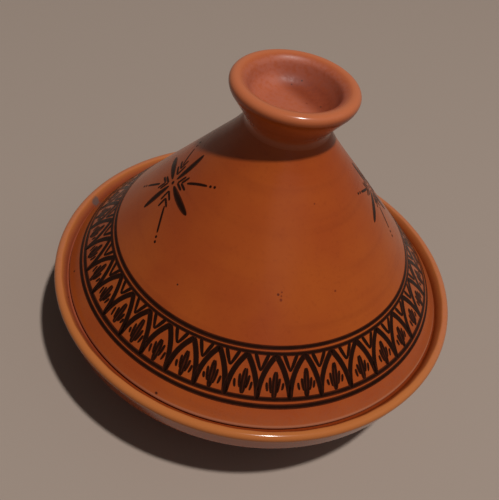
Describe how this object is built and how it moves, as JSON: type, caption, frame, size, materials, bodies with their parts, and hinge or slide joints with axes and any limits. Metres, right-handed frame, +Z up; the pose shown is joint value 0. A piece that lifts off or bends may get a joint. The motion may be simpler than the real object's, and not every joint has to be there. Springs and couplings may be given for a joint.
{
  "type": "tagine pot",
  "caption": "Glazed earthenware tagine: shallow round dish on a turned foot, hollow conical lid resting loose on a ledge inside the rim, and a flared cup knob to lift it by.",
  "frame": {"origin": "on the table under the centre of the dish, at the foot ring's underside", "axes": "+Z up along the common turning axis of the dish, the lid and the knob; -Y towards the picture's viewpoint"},
  "size_m": [0.2672, 0.2672, 0.2148],
  "materials": {
    "glazed_terracotta": "honey-brown satin gloss glaze over red earthenware"
  },
  "bodies": {
    "dish": {"dish": "glazed_terracotta"},
    "lid": {"lid_cone": "glazed_terracotta", "lid_knob": "glazed_terracotta"}
  },
  "joints": [
    {"name": "lid_lift", "type": "slide", "parent": "dish", "child": "lid", "axis": [0, 0, 1], "range_m": [0, 0.2]}
  ]
}
